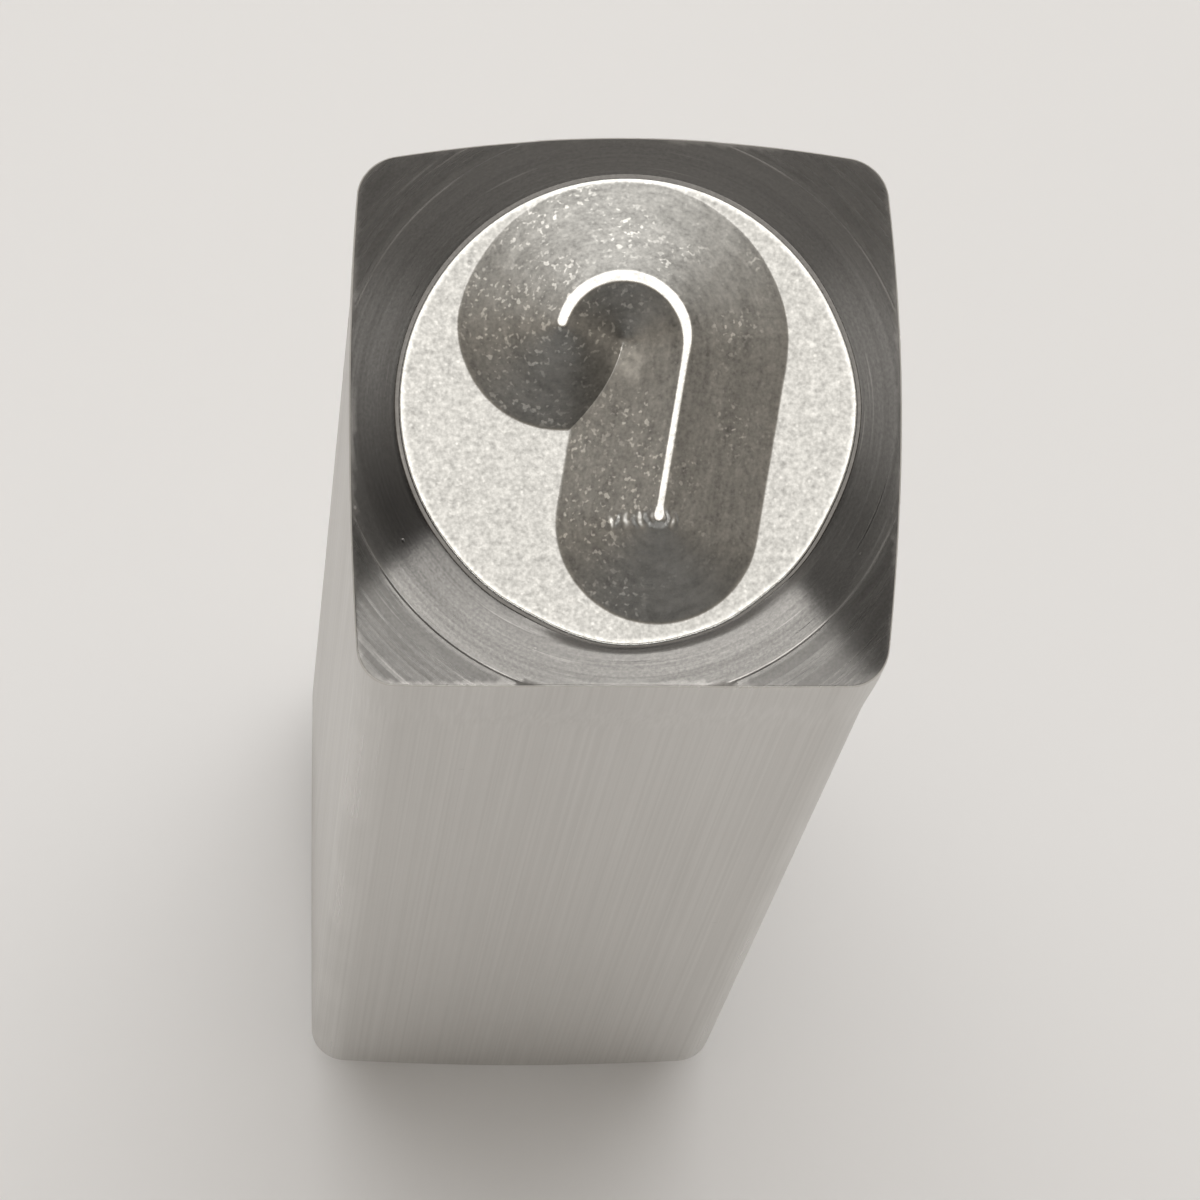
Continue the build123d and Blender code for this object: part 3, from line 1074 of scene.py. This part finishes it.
class LETTER_PUNCH_OT_make_punch(bpy.types.Operator):
    """Turn the blank, press the letter into it and finish its steel"""

    bl_idname = "letter_punch.make_punch"
    bl_label = "Make Punch"
    bl_options = {"REGISTER", "UNDO"}

    def execute(self, context):
        punch = context.scene.punch_sizes
        letter = context.scene.letter_sizes
        colours = context.scene.steel_colours
        line = letter_line(letter)
        face_level = punch.overall_length - letter.relief_height
        pale_patch_offset = np.array([0.08, -0.26])  # from the hook's centre, in millimetres
        pale_patch_place = (*((line.centre + pale_patch_offset) * MM), face_level + letter.relief_height / 2)
        flat_end = 4.15 * MM  # how far from the axis the flats end and the corners' radius takes over
        piece = bpy.data.objects.new("dressed_punch", blank_mesh(punch, letter))
        context.scene.collection.objects.link(piece)

        tree = letter_tree()
        modifier = piece.modifiers.new("press_letter", "NODES")
        modifier.node_group = tree
        given = {
            "Hook Centre": (*(line.centre * MM), face_level),
            "Hook Radius": letter.hook_radius,
            "Hook Sweep": letter.hook_sweep,
            "Stem Lean": letter.stem_lean,
            "Stem Length": line.stem_length * MM,
            "Stem End": (*(on_face(line, line.end) * MM), face_level),
            "Stroke Width": letter.stroke_width,
            "Stem Thinning": letter.stem_thinning,
            "Relief Height": letter.relief_height,
            "Flank Slope": letter.flank_slope,
            "Face Radius": punch.face_diameter / 2,
            "Cone Slope": punch.cone_slope,
            "Ridge Wear": letter.ridge_wear,
            "Foot Blend": letter.foot_blend,
            "Waviness": letter.waviness,
            "Beading": letter.beading,
            "Nick Pitch": letter.nick_pitch,
            "Nick Depth": letter.nick_depth,
            "Seed": letter.seed,
            "Face Steel": pressed_face_steel(colours.pressed, punch.face_diameter / 2, pale_patch_place),
            "Cone Steel": turned_cone_steel(colours.turned, punch.corner_ring_diameter / 2),
            "Bar Steel": drawn_bar_steel(colours.drawn, flat_end),
            "Struck Steel": faced_end_steel(colours.struck),
        }
        for item in tree.interface.items_tree:
            if item.in_out == "INPUT" and item.name in given:
                modifier[item.identifier] = given[item.name]

        graph = context.evaluated_depsgraph_get()
        pressed = bpy.data.meshes.new_from_object(piece.evaluated_get(graph))
        piece.modifiers.remove(modifier)
        piece.data = pressed
        pressed.name = "dressed_punch"
        pressed.materials.pop(index=0)  # the empty slot that the blank began with
        if {face.material_index for face in pressed.polygons} != {FACE, CONE, BAR, STRUCK_END}:
            raise RuntimeError("the pressed punch has lost a finish")
        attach(piece, "root")
        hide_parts(PUNCH_NODE)
        return {"FINISHED"}


class LETTER_PUNCH_OT_make_studio(bpy.types.Operator):
    """Lay the floor, hang the lights and set up the camera"""

    bl_idname = "letter_punch.make_studio"
    bl_label = "Make Studio"
    bl_options = {"REGISTER", "UNDO"}

    def execute(self, context):
        studio = context.scene.studio_sizes
        scene = context.scene
        scene.view_settings.view_transform = "Standard"
        self.lay_floor(scene, studio)
        self.hang_lights(scene, studio)
        self.set_camera(scene, studio)
        return {"FINISHED"}

    def lay_floor(self, scene, studio):
        """One large sheet of paper under the punch."""
        reach = 2.0
        corners = [(-reach, -reach, 0), (reach, -reach, 0), (reach, reach, 0), (-reach, reach, 0)]
        mesh = bpy.data.meshes.new("floor")
        mesh.from_pydata(corners, [], [(0, 1, 2, 3)])
        mesh.materials.append(floor_paper(studio.floor_colour))
        floor = bpy.data.objects.new("floor", mesh)
        scene.collection.objects.link(floor)

    def hang_lights(self, scene, studio):
        """The world as a studio: a softbox overhead and behind, a low card in front, a low band of light all
        round that is brighter at the sides and behind, and a dim warm room."""
        world = bpy.data.worlds.new("studio")
        world.use_nodes = True
        scene.world = world
        tree = world.node_tree
        tree.nodes.clear()
        generated = add_node(tree, "ShaderNodeTexCoord").outputs["Generated"]
        towards = add_node(tree, "ShaderNodeVectorMath", {0: generated}, operation="NORMALIZE")
        part = add_node(tree, "ShaderNodeSeparateXYZ", {0: towards}).outputs
        box = (0, sin(studio.overhead_tilt), cos(studio.overhead_tilt))
        to_box = add_node(tree, "ShaderNodeVectorMath", {0: towards, 1: box}, operation="DOT_PRODUCT")
        facing = to_box.outputs["Value"]
        card = (-sin(studio.front_turn), -cos(studio.front_turn), 0)
        to_card = add_node(tree, "ShaderNodeVectorMath", {0: towards, 1: card}, operation="DOT_PRODUCT")
        sideways = add_node(tree, "ShaderNodeMath", {0: part["X"]}, operation="ABSOLUTE")
        more_right = 0.12  # how much brighter the low band is on the right than in the middle
        to_right = add_node(
            tree, "ShaderNodeMath", {0: part["X"], 1: more_right, 2: 1.0}, operation="MULTIPLY_ADD"
        )

        # Each light fades in and out softly, between two values of how far a direction faces it or rises
        lights = {}
        for name, measure, low, high, below, above in (
            ("box", facing, 0.68, 0.90, 0, studio.overhead),
            ("ceiling", part["Z"], 0.90, 0.98, 0, studio.ceiling),
            ("room", facing, 0.20, 0.32, 0, studio.room),
            ("over_horizon", part["Z"], 0.25, 0.36, 0, 1),
            ("card", to_card.outputs["Value"], 0.55, 0.59, 0, studio.front),
            ("card_top", part["Z"], 0.10, 0.18, 1, 0),
            ("horizon", part["Z"], 0.03, 0.07, studio.horizon, 0),
            ("sides", sideways, 0.70, 0.95, 0.7, 2.2),
            ("behind", part["Y"], -0.35, 0.35, 0.4, 1.3),
        ):
            lights[name] = add_node(
                tree,
                "ShaderNodeMapRange",
                {"Value": measure, "From Min": low, "From Max": high, "To Min": below, "To Max": above},
                interpolation_type="SMOOTHSTEP",
            )
        # The brightest of them counts, each held to its own stretch of the sky
        white = lights["ceiling"]
        for name, *holds in (
            ("box", lights["over_horizon"]),
            ("card", lights["card_top"]),
            ("horizon", to_right, lights["sides"], lights["behind"]),
        ):
            light = lights[name]
            for hold in holds:
                light = add_node(tree, "ShaderNodeMath", {0: light, 1: hold}, operation="MULTIPLY")
            white = add_node(tree, "ShaderNodeMath", {0: white, 1: light}, operation="MAXIMUM")
        warm = add_node(
            tree,
            "ShaderNodeMath",
            {0: lights["room"], 1: lights["over_horizon"], 2: studio.surround},
            operation="MULTIPLY_ADD",
        )
        white_light = add_node(
            tree, "ShaderNodeVectorMath", {0: studio.light_colour, "Scale": white}, operation="SCALE"
        )
        warm_light = add_node(
            tree, "ShaderNodeVectorMath", {0: studio.room_colour, "Scale": warm}, operation="SCALE"
        )
        light = add_node(tree, "ShaderNodeVectorMath", {0: white_light, 1: warm_light}, operation="ADD")
        background = add_node(tree, "ShaderNodeBackground", {"Color": light, "Strength": 1.0})
        add_node(tree, "ShaderNodeOutputWorld", {"Surface": background})

    def set_camera(self, scene, studio):
        """The camera looks down on the head from the front, with +Y up the picture, as in the photograph."""
        camera = bpy.data.cameras.new("camera")
        camera.lens = studio.lens
        camera.sensor_width = 36
        camera.clip_start = 0.01
        camera.clip_end = 5
        camera_object = bpy.data.objects.new("camera", camera)
        place = Vector(studio.camera_place)
        back = (place - Vector(studio.camera_aim)).normalized()
        right = Vector((0, 1, 0)).cross(back).normalized()
        turned = Matrix((right, back.cross(right), back)).transposed().to_4x4()
        camera_object.matrix_world = Matrix.Translation(place) @ turned
        scene.collection.objects.link(camera_object)
        scene.camera = camera_object


class LETTER_PUNCH_PT_panel(bpy.types.Panel):
    """The punch's sizes and colours, and the buttons that make it"""

    bl_idname = "LETTER_PUNCH_PT_panel"
    bl_label = "Letter Punch"
    bl_space_type = "VIEW_3D"
    bl_region_type = "UI"
    bl_category = "Letter Punch"

    def draw(self, context):
        for title, group in (
            ("Punch", context.scene.punch_sizes),
            ("Letter", context.scene.letter_sizes),
            ("Steel", context.scene.steel_colours),
            ("Studio", context.scene.studio_sizes),
        ):
            box = self.layout.box()
            box.label(text=title)
            for name in group.__annotations__:
                box.prop(group, name)
        self.layout.operator(LETTER_PUNCH_OT_make_punch.bl_idname)
        self.layout.operator(LETTER_PUNCH_OT_make_studio.bl_idname)


GROUPS = {
    "punch_sizes": PunchSizes,
    "letter_sizes": LetterSizes,
    "steel_colours": SteelColours,
    "studio_sizes": StudioSizes,
}
CLASSES = (*GROUPS.values(), LETTER_PUNCH_OT_make_punch, LETTER_PUNCH_OT_make_studio, LETTER_PUNCH_PT_panel)


def register():
    for kind in CLASSES:
        bpy.utils.register_class(kind)
    for name, kind in GROUPS.items():
        setattr(bpy.types.Scene, name, bpy.props.PointerProperty(type=kind))


def unregister():
    for name in GROUPS:
        delattr(bpy.types.Scene, name)
    for kind in reversed(CLASSES):
        bpy.utils.unregister_class(kind)


def main():
    register()
    bpy.ops.letter_punch.make_studio()
    bpy.ops.letter_punch.make_punch()


if __name__ == "__main__":
    main()
